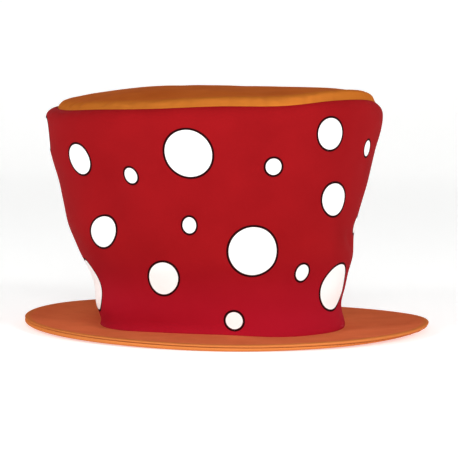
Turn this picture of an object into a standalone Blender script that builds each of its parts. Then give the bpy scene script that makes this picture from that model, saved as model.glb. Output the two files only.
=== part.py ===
"""A giant clown hat that stands on its brim, in metres.

The crown is a padded tube of printed cloth that widens upwards and leans to one side. A domed satin
pad closes it above. Below, it stands on a brim of two padded satin layers, and it is open there for
the head. The front is -Y, the wearer's left is +X, and the surface it rests on is Z = 0.
"""

import math
from typing import NamedTuple

import bmesh
import bpy

# Brim
BRIM_RADIUS = 0.1715
BRIM_LAYER = 0.0025
BRIM_EDGE_ROLL = 0.0022
BRIM_PINCH_REACH = 0.0140
BRIM_PINCHED_LAYER = 0.0013

# Crown
CROWN_BASE_RADIUS = 0.1026
CROWN_FULL_RADIUS = 0.1432
CROWN_HEIGHT = 0.1826
CROWN_WALL = 0.0040
CROWN_BASE_SHIFT = -0.0028
CROWN_LEAN = 0.0108
SHOULDER_TURN = 0.0063
DENT_DEPTH = 0.0045

# Top pad
TOP_THICKNESS = 0.0045
TOP_RISE = 0.0183

# Room left between pieces that are sewn together
SEAM_GAP = 0.0003

# Points round a cage, which one subdivision doubles
CAGE_POINTS = 24
FINE_POINTS = 2 * CAGE_POINTS
EDGE_ROLL_STEPS = 4


class Section(NamedTuple):
    """A ring of the crown. Spread runs from the base radius, 0, to the full radius, 1."""

    height: float
    spread: float
    lean: float
    turned_in: float


# Shares of the crown's height, of the way between its two radii, of its lean and of its shoulder
CROWN_SECTIONS = (
    Section(height=0.000, spread=0.00, lean=0.00, turned_in=0.00),
    Section(height=0.025, spread=0.00, lean=0.00, turned_in=0.00),
    Section(height=0.065, spread=0.02, lean=0.24, turned_in=0.00),
    Section(height=0.110, spread=0.05, lean=0.38, turned_in=0.00),
    Section(height=0.170, spread=0.11, lean=0.33, turned_in=0.00),
    Section(height=0.240, spread=0.21, lean=0.45, turned_in=0.00),
    Section(height=0.310, spread=0.34, lean=0.62, turned_in=0.00),
    Section(height=0.380, spread=0.42, lean=0.87, turned_in=0.00),
    Section(height=0.460, spread=0.50, lean=1.05, turned_in=0.00),
    Section(height=0.560, spread=0.60, lean=1.00, turned_in=0.00),
    Section(height=0.670, spread=0.73, lean=0.98, turned_in=0.00),
    Section(height=0.790, spread=0.88, lean=1.06, turned_in=0.00),
    Section(height=0.885, spread=0.97, lean=1.02, turned_in=0.00),
    Section(height=0.950, spread=1.00, lean=0.96, turned_in=0.06),
    Section(height=0.985, spread=1.00, lean=0.86, turned_in=0.42),
    Section(height=1.000, spread=1.00, lean=0.73, turned_in=1.00),
)


class Dent(NamedTuple):
    """A shallow hollow in the crown: its middle, its reach each way and its depth."""

    azimuth: float
    height: float
    azimuth_reach: float
    height_reach: float
    depth: float


# Azimuths in degrees from +X towards +Y, heights as shares of the crown's, depths of DENT_DEPTH
CROWN_DENTS = (
    Dent(azimuth=231, height=0.73, azimuth_reach=17, height_reach=0.18, depth=1.0),
    Dent(azimuth=257, height=0.46, azimuth_reach=13, height_reach=0.10, depth=0.6),
    Dent(azimuth=336, height=0.33, azimuth_reach=14, height_reach=0.07, depth=0.5),
    Dent(azimuth=75, height=0.58, azimuth_reach=26, height_reach=0.15, depth=0.7),
    Dent(azimuth=128, height=0.36, azimuth_reach=18, height_reach=0.12, depth=0.5),
)


class Compass(NamedTuple):
    """What changes round the hat, given every 45 degrees from +X towards +Y."""

    top_seam: float
    brim_reach: float
    brim_lift: float


# Shares of the top pad's rise, of the brim's radius and of the brim's whole thickness
COMPASS = (
    Compass(top_seam=0.13, brim_reach=1.00, brim_lift=0.34),
    Compass(top_seam=0.08, brim_reach=0.95, brim_lift=0.00),
    Compass(top_seam=0.00, brim_reach=1.00, brim_lift=0.00),
    Compass(top_seam=-0.10, brim_reach=1.00, brim_lift=0.50),
    Compass(top_seam=-0.18, brim_reach=1.00, brim_lift=0.52),
    Compass(top_seam=-0.22, brim_reach=1.00, brim_lift=0.10),
    Compass(top_seam=0.00, brim_reach=1.00, brim_lift=0.00),
    Compass(top_seam=0.35, brim_reach=1.00, brim_lift=0.22),
)


class PadRow(NamedTuple):
    """A ring of the top pad, from its sewn edge inwards. It swells faster on the +X side."""

    inset: float
    rise_left: float
    rise_right: float


# Shares of the way from the seam to the middle, and of the pad's rise
TOP_ROWS = (
    PadRow(inset=0.00, rise_left=0.00, rise_right=0.00),
    PadRow(inset=0.03, rise_left=0.28, rise_right=0.40),
    PadRow(inset=0.10, rise_left=0.45, rise_right=0.68),
    PadRow(inset=0.22, rise_left=0.61, rise_right=0.83),
    PadRow(inset=0.42, rise_left=0.81, rise_right=0.92),
    PadRow(inset=0.70, rise_left=0.97, rise_right=0.99),
    PadRow(inset=0.90, rise_left=1.00, rise_right=1.00),
)

# Shares of the way from the brim's sewn margin to its edge at which its flat faces have a ring
BRIM_ROWS = (0.25, 0.50, 0.72, 0.90)

# The brim lies flat up to this share of that way, and beyond it its edge may lift
BRIM_FLAT_SHARE = 0.25

BRIM_THICKNESS = 2 * BRIM_LAYER + SEAM_GAP
BRIM_MARGIN = CROWN_WALL + BRIM_PINCH_REACH
HOLE_RADIUS = CROWN_BASE_RADIUS - CROWN_WALL
CROWN_FOOT = BRIM_LAYER + SEAM_GAP + BRIM_PINCHED_LAYER + SEAM_GAP
TOP_SEAM_HEIGHT = CROWN_FOOT + CROWN_HEIGHT
TOP_SEAM_RADIUS = CROWN_FULL_RADIUS - SHOULDER_TURN

RED_CLOTH = (172, 26, 32)
ORANGE_SATIN = (205, 104, 45)


def azimuths(count):
    """The directions of a ring's points, in radians."""
    return [2 * math.pi * index / count for index in range(count)]


def smooth_around(values, azimuth):
    """The value at an azimuth of a smooth closed curve through values at equal steps round the hat."""
    place = azimuth / (2 * math.pi) * len(values)
    first = math.floor(place)
    share = place - first
    before, start, end, after = (values[(first + step) % len(values)] for step in (-1, 0, 1, 2))
    return (
        start * (1 + 2 * share) * (1 - share) ** 2
        + end * share**2 * (3 - 2 * share)
        + (end - before) / 2 * share * (1 - share) ** 2
        + (after - start) / 2 * share**2 * (share - 1)
    )


def compass(column, azimuth):
    """A column of the compass table at an azimuth."""
    return smooth_around([getattr(row, column) for row in COMPASS], azimuth)


def cage_scale():
    """How much larger a ring's cage is than the ring that one subdivision makes of it."""
    return 4 / (3 + math.cos(2 * math.pi / CAGE_POINTS))


def dent_depth(azimuth, height):
    """How far the crown is pushed in at an azimuth and a share of its height."""
    depth = 0.0
    for dent in CROWN_DENTS:
        turn = math.remainder(math.degrees(azimuth) - dent.azimuth, 360) / dent.azimuth_reach
        climb = (height - dent.height) / dent.height_reach
        depth += DENT_DEPTH * dent.depth * math.exp(-(turn**2) - climb**2)
    return depth


def crown_axis(lean):
    """Where the crown's middle stands along X, at a share of its lean."""
    return CROWN_BASE_SHIFT - CROWN_LEAN * lean


def crown_row(section):
    """The points of one ring of the crown's outer face."""
    spread = section.spread * (CROWN_FULL_RADIUS - CROWN_BASE_RADIUS)
    radius = CROWN_BASE_RADIUS + spread - section.turned_in * SHOULDER_TURN
    points = []
    for azimuth in azimuths(CAGE_POINTS):
        reach = cage_scale() * radius - dent_depth(azimuth, section.height)
        seam_wave = TOP_RISE * compass("top_seam", azimuth) * section.height**3
        points.append(
            (
                crown_axis(section.lean) + reach * math.cos(azimuth),
                reach * math.sin(azimuth),
                CROWN_FOOT + CROWN_HEIGHT * section.height + seam_wave,
            )
        )
    return points


def top_row(row):
    """The points of one ring of the top pad's upper face."""
    points = []
    for azimuth in azimuths(CAGE_POINTS):
        radius = cage_scale() * (TOP_SEAM_RADIUS - SEAM_GAP) * (1 - row.inset)
        right_side = (1 + math.cos(azimuth)) / 2
        rise = row.rise_left + (row.rise_right - row.rise_left) * right_side
        seam_wave = TOP_RISE * compass("top_seam", azimuth) * (1 - row.inset) ** 2
        points.append(
            (
                crown_axis(CROWN_SECTIONS[-1].lean) + radius * math.cos(azimuth),
                radius * math.sin(azimuth),
                TOP_SEAM_HEIGHT + SEAM_GAP + TOP_RISE * rise + seam_wave,
            )
        )
    return points


def brim_row(height, across=0.0, margin=0.0, setback=0.0):
    """The points of one ring of a brim layer.

    Across runs from a margin round the head opening, 0, to the outer edge, 1, from which the
    setback draws the ring in.
    """
    lifted = max(0.0, across - BRIM_FLAT_SHARE) / (1 - BRIM_FLAT_SHARE)
    start = HOLE_RADIUS + margin
    points = []
    for azimuth in azimuths(FINE_POINTS):
        edge = BRIM_RADIUS * compass("brim_reach", azimuth)
        radius = start + (edge - start) * across - setback
        middle = CROWN_BASE_SHIFT * (1 - across)
        lift = BRIM_THICKNESS * max(0.0, compass("brim_lift", azimuth)) * lifted**2
        points.append(
            (middle + radius * math.cos(azimuth), radius * math.sin(azimuth), height + lift)
        )
    return points


def rolled_edge_rows(underside):
    """The rings of a brim layer's round outer edge, from below to above."""
    rows = []
    for step in range(EDGE_ROLL_STEPS + 1):
        angle = math.pi * (step / EDGE_ROLL_STEPS - 0.5)
        height = underside + BRIM_LAYER / 2 * (1 + math.sin(angle))
        rows.append(brim_row(height, across=1.0, setback=BRIM_EDGE_ROLL * (1 - math.cos(angle))))
    return rows


def flat_brim_rows(height):
    """The rings of a brim layer's flat face, from the sewn margin outwards."""
    return [brim_row(height, across, margin=BRIM_MARGIN) for across in BRIM_ROWS]


def lofted_mesh(name, rows, closed_profile=False, capped=False):
    """A mesh of quads between rings of points, with a last face over the last ring if it is capped."""
    shape = bmesh.new()
    rings = [[shape.verts.new(point) for point in row] for row in rows]
    pairs = list(zip(rings, rings[1:]))
    if closed_profile:
        pairs.append((rings[-1], rings[0]))
    for first, second in pairs:
        for here in range(len(first)):
            there = (here + 1) % len(first)
            shape.faces.new((first[here], first[there], second[there], second[here]))
    if capped:
        shape.faces.new(rings[-1])
    mesh = bpy.data.meshes.new(name)
    shape.to_mesh(mesh)
    shape.free()
    mesh.shade_smooth()
    return mesh


def linear(colour):
    """A colour of 0 to 255 per channel as the linear values that a shader takes."""
    channels = [channel / 255 for channel in colour]
    return [c / 12.92 if c <= 0.04045 else ((c + 0.055) / 1.055) ** 2.4 for c in channels]


def cloth_material(name, colour, roughness, sheen):
    """A cloth's material."""
    material = bpy.data.materials.new(name)
    material.use_nodes = True
    shader = material.node_tree.nodes["Principled BSDF"]
    shader.inputs["Base Color"].default_value = (*linear(colour), 1.0)
    shader.inputs["Roughness"].default_value = roughness
    shader.inputs["Metallic"].default_value = 0.0
    shader.inputs["Sheen Weight"].default_value = sheen
    return material


def add_piece(collection, mesh, material):
    """An object of the hat that holds a mesh."""
    piece = bpy.data.objects.new(mesh.name, mesh)
    collection.objects.link(piece)
    mesh.materials.append(material)
    return piece


def soften_and_thicken(piece, thickness):
    """Rounds a cage with a subdivision and gives it a wall on its inner side."""
    softening = piece.modifiers.new("soft form", "SUBSURF")
    softening.levels = 1
    softening.render_levels = 1
    wall = piece.modifiers.new("wall", "SOLIDIFY")
    wall.thickness = thickness
    wall.offset = -1.0
    wall.use_even_offset = True


def build_crown_wall(collection, material):
    """The printed cloth of the crown, open at both ends."""
    rows = [crown_row(section) for section in CROWN_SECTIONS]
    piece = add_piece(collection, lofted_mesh("crown_wall", rows), material)
    soften_and_thicken(piece, CROWN_WALL)


def build_crown_top(collection, material):
    """The domed pad that closes the crown."""
    rows = [top_row(row) for row in TOP_ROWS]
    piece = add_piece(collection, lofted_mesh("crown_top", rows, capped=True), material)
    soften_and_thicken(piece, TOP_THICKNESS)


def build_brim_under(collection, material):
    """The lower layer of the brim, flat below."""
    rows = [brim_row(0.0)]
    rows += flat_brim_rows(0.0)
    rows += rolled_edge_rows(0.0)
    rows += reversed(flat_brim_rows(BRIM_LAYER))
    rows += [brim_row(BRIM_LAYER)]
    add_piece(collection, lofted_mesh("brim_under", rows, closed_profile=True), material)


def build_brim_top(collection, material):
    """The upper layer of the brim, pinched thin where the crown is sewn on."""
    underside = BRIM_LAYER + SEAM_GAP
    pinched = underside + BRIM_PINCHED_LAYER
    swollen = underside + BRIM_LAYER
    half_swollen = (pinched + swollen) / 2
    rows = [brim_row(underside)]
    rows += flat_brim_rows(underside)
    rows += rolled_edge_rows(underside)
    rows += reversed(flat_brim_rows(swollen))
    rows += [brim_row(swollen, margin=BRIM_MARGIN)]
    rows += [brim_row(half_swollen, margin=CROWN_WALL + BRIM_PINCH_REACH / 3)]
    rows += [brim_row(pinched, margin=CROWN_WALL)]
    rows += [brim_row(pinched)]
    add_piece(collection, lofted_mesh("brim_top", rows, closed_profile=True), material)


def build_hat():
    """All pieces of the hat, in one collection."""
    for old in list(bpy.data.objects):
        bpy.data.objects.remove(old)
    collection = bpy.data.collections.new("giant_clown_hat")
    bpy.context.scene.collection.children.link(collection)
    red_cloth = cloth_material("red_cloth", RED_CLOTH, roughness=0.85, sheen=0.2)
    orange_satin = cloth_material("orange_satin", ORANGE_SATIN, roughness=0.45, sheen=0.1)
    build_brim_under(collection, orange_satin)
    build_brim_top(collection, orange_satin)
    build_crown_wall(collection, red_cloth)
    build_crown_top(collection, orange_satin)


build_hat()
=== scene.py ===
"""The looks of a giant clown hat: its printed crown, satin pad and brim, its stitches and a studio.

Every length is in metres. The hat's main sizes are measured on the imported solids, and the tables hold
shares of them, so that the cloth fits the solids that it stands for. The front is -Y and the wearer's
left is +X. Azimuths run from +X towards +Y, in degrees in the tables and in radians in the code.
"""

import logging
import math
from dataclasses import dataclass
from enum import Enum
from typing import Any, Sequence

import bpy
import numpy as np
from bpy.types import Material, Mesh, Node, NodeSocket, NodeTree, Object
from mathutils import Matrix, Vector, noise


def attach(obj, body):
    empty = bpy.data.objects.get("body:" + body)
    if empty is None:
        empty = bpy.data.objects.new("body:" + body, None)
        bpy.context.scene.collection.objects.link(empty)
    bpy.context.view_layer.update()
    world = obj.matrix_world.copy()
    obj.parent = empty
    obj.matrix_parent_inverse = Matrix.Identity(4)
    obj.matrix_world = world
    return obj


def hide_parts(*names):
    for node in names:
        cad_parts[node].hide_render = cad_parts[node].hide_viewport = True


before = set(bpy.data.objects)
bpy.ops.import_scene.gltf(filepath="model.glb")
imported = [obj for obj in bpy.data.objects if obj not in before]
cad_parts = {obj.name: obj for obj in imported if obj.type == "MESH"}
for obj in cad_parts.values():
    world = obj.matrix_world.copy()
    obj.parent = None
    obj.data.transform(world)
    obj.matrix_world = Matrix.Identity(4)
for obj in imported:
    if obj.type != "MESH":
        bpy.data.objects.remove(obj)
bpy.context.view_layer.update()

LOG = logging.getLogger("giant_clown_hat")
MM = 0.001
FULL_TURN = 2 * math.pi
BACK_SEAM = math.radians(90)
BODY = "root"
CUT_MAP = "flat_cut"
OUTWARD = "outward"
ROWS_INSIDE = 3
STITCH_PATH_POINTS = 720
# The wave texture's bands turn by this much for each unit at a scale of 1
BAND_RADIANS = 20
UPWARDS = np.array([0.0, 0.0, 1.0])
FULL_WHITE = (1.0, 1.0, 1.0, 1.0)
Array = np.ndarray
Colour = tuple[float, float, float, float]


class Slot(Enum):
    """The record's material slots."""

    DOTTED_CLOTH = "dotted_cloth"
    ORANGE_SATIN = "orange_satin"


class DotSize(Enum):
    """The radii of the printed dots."""

    LARGE = 19.7 * MM
    MEDIUM = 13.4 * MM
    SMALL = 6.9 * MM


class Layer(Enum):
    """The two layers of the brim."""

    UPPER = "brim_upper"
    LOWER = "brim_lower"


@dataclass(frozen=True)
class Spoke:
    """How the hat's lower part is shaped in one direction, in millimetres.

    The foot line is where the crown meets the brim: its height, and how far it is pushed outwards. The
    edge is the brim's thickness at its rim, lifted off the floor. The groove is the share of it that
    lies under the seam between its layers, and the tuck is how far the lower layer is drawn in.
    """

    azimuth: int
    foot: float
    push: float
    edge: float
    lift: float
    groove: float
    tuck: float


# Azimuth, foot, push, edge, lift, groove and tuck
SPOKES = (
    Spoke(0, 3.0, 0.0, 3.8, 4.5, 0.50, 2.0),
    Spoke(30, 3.2, 0.0, 4.0, 1.7, 0.50, 0.5),
    Spoke(60, 3.4, 0.0, 3.4, 0.0, 0.50, 0.0),
    Spoke(90, 3.6, 0.0, 4.4, 0.0, 0.50, 0.0),
    Spoke(120, 3.7, 0.0, 5.3, 1.6, 0.52, 0.0),
    Spoke(150, 3.6, 0.0, 5.3, 3.2, 0.58, 0.0),
    Spoke(180, 2.8, 0.5, 5.3, 3.0, 0.65, 0.0),
    Spoke(210, 2.3, 5.0, 5.3, 2.2, 0.70, 0.0),
    Spoke(240, 3.9, -2.0, 5.3, 1.1, 0.64, 0.0),
    Spoke(270, 4.2, -3.5, 5.3, 0.1, 0.58, 0.0),
    Spoke(300, 2.3, 3.0, 5.3, 1.2, 0.50, 1.2),
    Spoke(330, 2.7, 4.0, 4.6, 3.2, 0.45, 3.0),
)


def spline(values: Sequence[float], places: Array) -> Array:
    """A smooth curve through values: a cubic spline, straight at its ends.

    Args:
        values: The values, one at each whole number from 0.
        places: Where to read the curve, from 0 to the last value's number.

    Returns:
        The curve's values at the places.
    """
    count = len(values)
    blend = np.diag(np.full(count, 4.0)) + np.diag(np.ones(count - 1), 1) + np.diag(np.ones(count - 1), -1)
    blend[0, :2] = (6.0, 0.0)
    blend[-1, -2:] = (0.0, 6.0)
    guide = np.linalg.solve(blend, 6 * np.array(values, float))
    guide = np.concatenate([[2 * guide[0] - guide[1]], guide, [2 * guide[-1] - guide[-2]]])
    first = np.clip(np.floor(places).astype(int), 0, count - 2)
    share = places - first
    before, start, end, after = (guide[first + step] for step in range(4))
    return (
        (1 - share) ** 3 * before
        + (3 * share**3 - 6 * share**2 + 4) * start
        + (-3 * share**3 + 3 * share**2 + 3 * share + 1) * end
        + share**3 * after
    ) / 6


def around(values: Sequence[float], azimuth: Array) -> Array:
    """A smooth closed curve through values at equal steps round the hat.

    Args:
        values: The values, from azimuth 0 on.
        azimuth: Where to read the curve, in radians.

    Returns:
        The curve's values at the azimuths.
    """
    table = np.array(values, float)
    place = np.asarray(azimuth) / FULL_TURN * len(table)
    first = np.floor(place).astype(int)
    share = place - first
    before, start, end, after = (table[(first + step) % len(table)] for step in (-1, 0, 1, 2))
    return (
        start * (1 + 2 * share) * (1 - share) ** 2
        + end * share**2 * (3 - 2 * share)
        + (end - before) / 2 * share * (1 - share) ** 2
        + (after - start) / 2 * share**2 * (share - 1)
    )


def spoke_values(name: str, azimuth: Array) -> Array:
    """A column of the spokes' table, read smoothly round the hat."""
    return around([getattr(spoke, name) for spoke in SPOKES], azimuth)


def ring_values(rings: Sequence[Any], name: str, places: Array) -> Array:
    """A column of a table of rings, read smoothly at places along it."""
    return spline([getattr(ring, name) for ring in rings], places)


def ring_places(rings: Sequence[Any], rows: int, start: float = 0.0) -> Array:
    """Places along a table of rings, with rows for each step from one ring to the next."""
    last = len(rings) - 1
    return np.linspace(start, last, last * rows + 1)


def all_round(columns: int) -> Array:
    """Even azimuths all the way round the hat."""
    return np.arange(columns) / columns * FULL_TURN


def outwards(azimuth: Array) -> Array:
    """The level directions that point away from the hat's middle."""
    return np.stack([np.cos(azimuth), np.sin(azimuth), 0 * azimuth], axis=-1)


@dataclass(frozen=True)
class Ripples:
    """Soft random relief: its depth, the size of its patches and a seed that picks the pattern."""

    depth: float
    size: float
    seed: float

    def over(self, points: Array) -> Array:
        """The relief over points in space.

        Args:
            points: An array whose last axis is X, Y and Z.

        Returns:
            Heights from about minus to plus the depth, without the points' last axis.
        """
        shift = Vector((self.seed, 2.3 * self.seed, 4.1 * self.seed))
        flat = points.reshape(-1, 3) / self.size
        values = [noise.noise(Vector(point) + shift) for point in flat.tolist()]
        return self.depth * np.array(values).reshape(points.shape[:-1])


def hill(distance: Array, reach: float) -> Array:
    """A round hill of height 1 that fades over a reach."""
    return np.exp(-((distance / reach) ** 2))


def turn_between(azimuth: Array, middle: float) -> Array:
    """The turn from a middle azimuth to others, from minus to plus half a turn."""
    return (azimuth - middle + math.pi) % FULL_TURN - math.pi


def surface_normals(points: Array) -> Array:
    """The outward directions on rows of points that run round the hat.

    Args:
        points: Rows, columns and X, Y and Z. The last column is followed by the first.

    Returns:
        Unit vectors of the same shape.
    """
    along = np.roll(points, -1, axis=1) - np.roll(points, 1, axis=1)
    across = np.gradient(points, axis=0)
    normals = np.cross(along, across)
    return normals / np.linalg.norm(normals, axis=2, keepdims=True)


def mesh_points(mesh: Mesh) -> Array:
    """The places of a mesh's vertices."""
    points = np.empty(len(mesh.vertices) * 3, np.float32)
    mesh.vertices.foreach_get("co", points)
    return points.reshape(-1, 3)


def add_object(name: str, data: Any) -> Object:
    """Puts a mesh, lamp or camera into the scene as an object."""
    made = bpy.data.objects.new(name, data)
    bpy.context.scene.collection.objects.link(made)
    return made


@dataclass(frozen=True)
class HatSizes:
    """The hat's main sizes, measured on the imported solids."""

    brim_radius: float
    hole_radius: float
    hat_centre: float
    foot_height: float
    foot_radius: float
    wall: float
    full_radius: float
    seam_height: float
    pad_top: float

    @classmethod
    def measured(cls) -> "HatSizes":
        """Reads the sizes off the solids of the crown, the pad and the brim."""
        nodes = ("crown_wall", "brim_under", "crown_top")
        wall, brim, pad = (mesh_points(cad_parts[node].data) for node in nodes)
        foot = wall[wall[:, 2] < wall[:, 2].min() + 0.2 * MM]
        centre = (foot[:, 0].max() + foot[:, 0].min()) / 2
        foot_radius = (foot[:, 0].max() - foot[:, 0].min()) / 2
        inner_radius = np.hypot(foot[:, 0] - centre, foot[:, 1]).min()
        upper_part = wall[wall[:, 2] > wall[:, 2].max() * 0.7]
        full_centre = (upper_part[:, 0].max() + upper_part[:, 0].min()) / 2
        at_back = wall[(wall[:, 1] > 0) & (np.abs(wall[:, 0] - full_centre) < 12 * MM)]
        found = {
            "brim_radius": (brim[:, 0].max() - brim[:, 0].min()) / 2,
            "hole_radius": np.hypot(brim[:, 0] - centre, brim[:, 1]).min(),
            "hat_centre": centre,
            "foot_height": wall[:, 2].min(),
            "foot_radius": foot_radius,
            "wall": foot_radius - inner_radius,
            "full_radius": (upper_part[:, 1].max() - upper_part[:, 1].min()) / 2,
            "seam_height": at_back[:, 2].max(),
            "pad_top": pad[:, 2].max(),
        }
        return cls(**{name: float(size) for name, size in found.items()})


class Sock:
    """A shader socket that takes part in arithmetic on plain values."""

    def __init__(self, shading: "Shading", socket: NodeSocket) -> None:
        """Keeps the socket and the tree that it belongs to."""
        self.shading = shading
        self.socket = socket

    def __add__(self, other: Any) -> "Sock":
        """This value plus another, in either order."""
        return self.shading.math("ADD", self, other)

    def __sub__(self, other: Any) -> "Sock":
        """This value minus another."""
        return self.shading.math("SUBTRACT", self, other)

    def __rsub__(self, other: Any) -> "Sock":
        """Another value minus this one."""
        return self.shading.math("SUBTRACT", other, self)

    def __mul__(self, other: Any) -> "Sock":
        """This value times another, in either order."""
        return self.shading.math("MULTIPLY", self, other)

    __radd__ = __add__
    __rmul__ = __mul__


class Shading:
    """A material's node tree, built with expressions."""

    def __init__(self, name: str) -> None:
        """Makes a material whose Principled shader is ready to be fed."""
        self.material = bpy.data.materials.new(name)
        self.material.use_nodes = True
        self.tree = self.material.node_tree
        self.shader = self.tree.nodes["Principled BSDF"]

    def node(self, kind: str, settings: dict[str, Any], **inputs: Any) -> Node:
        """Adds a node.

        Args:
            kind: The node's type.
            settings: Its properties, set before its sockets.
            inputs: Values or sockets, by socket name with _ for each space.

        Returns:
            The new node.
        """
        made = self.tree.nodes.new(kind)
        for name, value in settings.items():
            setattr(made, name, value)
        for name, value in inputs.items():
            self.feed(made, name.replace("_", " "), value)
        return made

    def feed(self, node: Node, name: str | int, value: Any) -> None:
        """Links a socket to a node's input, or sets the input to a value."""
        if isinstance(value, Sock):
            self.tree.links.new(value.socket, node.inputs[name])
        else:
            node.inputs[name].default_value = value

    def out(self, node: Node, name: str | int = 0) -> Sock:
        """An output of a node, ready for arithmetic."""
        return Sock(self, node.outputs[name])

    def math(self, operation: str, *values: Any) -> Sock:
        """The result of a Math node on values or sockets."""
        made = self.node("ShaderNodeMath", {"operation": operation})
        for place, value in enumerate(values):
            self.feed(made, place, value)
        return self.out(made)

    def vector_math(self, operation: str, *values: Any, result: str = "Vector") -> Sock:
        """The result of a Vector Math node on vectors or sockets."""
        made = self.node("ShaderNodeVectorMath", {"operation": operation})
        for place, value in enumerate(values):
            self.feed(made, place, value)
        return self.out(made, result)

    def blend(self, share: Any, first: Any, second: Any) -> Sock:
        """A colour between two colours, at a share from 0 to 1."""
        made = self.node("ShaderNodeMix", {"data_type": "RGBA"})
        self.feed(made, 0, share)
        self.feed(made, 6, first)
        self.feed(made, 7, second)
        return self.out(made, 2)

    def ramp(self, value: Sock, low: float, high: float) -> Sock:
        """Rises smoothly from 0 to 1 while a value goes from low to high."""
        made = self.node("ShaderNodeMapRange", {"interpolation_type": "SMOOTHSTEP"}, Value=value)
        self.feed(made, 1, low)
        self.feed(made, 2, high)
        return self.out(made)

    def mottle(self, vector: Sock, size: float, detail: float = 2.0, output: int = 0) -> Sock:
        """Cloudy noise from 0 to 1 with patches of a size: its value, or its colour as output 1."""
        made = self.node("ShaderNodeTexNoise", {}, Vector=vector, Scale=1 / size, Detail=detail)
        return self.out(made, output)

    def waves(self, vector: Sock, pitch: float, direction: str) -> Sock:
        """Sine waves from 0 to 1, a pitch apart along X or Y."""
        settings = {"wave_type": "BANDS", "bands_direction": direction}
        scale = FULL_TURN / (BAND_RADIANS * pitch)
        made = self.node("ShaderNodeTexWave", settings, Vector=vector, Scale=scale, Distortion=0.0)
        return self.out(made, 1)

    def place_on_cut(self) -> Sock:
        """The place on the flat cut of the cloth, in metres."""
        return self.out(self.node("ShaderNodeUVMap", {"uv_map": CUT_MAP}), "UV")

    def place_in_space(self) -> Sock:
        """The place on the object, in metres."""
        return self.out(self.node("ShaderNodeTexCoord", {}), "Object")

    def raise_bumps(self, height: Sock, depth: float, strength: float = 1.0) -> None:
        """Feeds the shader's normal with bumps of a height from 0 to 1 and a depth."""
        made = self.node("ShaderNodeBump", {}, Strength=strength, Distance=depth, Height=height)
        self.feed(self.shader, "Normal", self.out(made))

    def finish(self, **inputs: Any) -> Material:
        """Sets the shader's inputs, by name with _ for each space, and returns the material."""
        for name, value in inputs.items():
            self.feed(self.shader, name.replace("_", " "), value)
        return self.material


def linear(red: float, green: float, blue: float) -> Colour:
    """A colour of 0 to 255 per channel as the linear values that a shader takes."""
    channels = [channel / 255 for channel in (red, green, blue)]
    made = [c / 12.92 if c <= 0.04045 else ((c + 0.055) / 1.055) ** 2.4 for c in channels]
    return (made[0], made[1], made[2], 1.0)


@dataclass(frozen=True)
class Dot:
    """A printed dot, at a share of the crown's height.

    Its width and height are shares of its size, and it is tilted to the left in degrees.
    """

    azimuth: float
    height: float
    size: DotSize
    wide: float = 1.0
    tall: float = 1.0
    tilt: float = 0.0


# Azimuth, height, size, wide, tall and tilt
FRONT_DOTS = (
    Dot(260.6, 0.804, DotSize.LARGE, 0.91, 0.97, -29),
    Dot(284.6, 0.378, DotSize.LARGE, 0.99, 1.03, -44),
    Dot(332.7, 0.193, DotSize.LARGE, 1.12, 0.97, -13),
    Dot(196.7, 0.176, DotSize.LARGE, 0.82, 1.12, -30),
    Dot(311.2, 0.892, DotSize.MEDIUM, 1.08, 0.92, 30),
    Dot(216.9, 0.762, DotSize.MEDIUM, 0.96, 0.92, -20),
    Dot(320.0, 0.598, DotSize.MEDIUM, 1.28, 0.93, 28),
    Dot(222.1, 0.441, DotSize.MEDIUM, 1.25, 0.86, -32),
    Dot(247.7, 0.247, DotSize.MEDIUM, 0.90, 1.09, 38),
    Dot(187.7, 0.865, DotSize.MEDIUM),
    Dot(337.4, 0.823, DotSize.SMALL, 1.06, 0.86, 45),
    Dot(289.6, 0.750, DotSize.SMALL, 1.00, 0.93, 41),
    Dot(239.0, 0.700, DotSize.SMALL, 0.97, 0.86, 40),
    Dot(260.0, 0.490, DotSize.SMALL, 0.78, 0.96, 3),
    Dot(307.8, 0.275, DotSize.SMALL, 0.93, 1.01, -28),
    Dot(278.7, 0.064, DotSize.SMALL, 0.98, 1.06, -35),
    Dot(351.2, 0.462, DotSize.SMALL),
)

# Azimuth and height
BACK_PLACES = {
    DotSize.LARGE: ((6, 0.78), (34, 0.31), (64, 0.74), (118, 0.40), (146, 0.79)),
    DotSize.MEDIUM: (
        *((12, 0.13), (40, 0.57), (76, 0.17), (97, 0.61)),
        *((108, 0.88), (150, 0.27), (164, 0.54)),
    ),
    DotSize.SMALL: (
        *((24, 0.50), (41, 0.86), (62, 0.44), (84, 0.40), (103, 0.14)),
        *((127, 0.64), (134, 0.14), (176, 0.70), (178, 0.36)),
    ),
}
BACK_DOTS = tuple(Dot(*place, size) for size, places in BACK_PLACES.items() for place in places)


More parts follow.
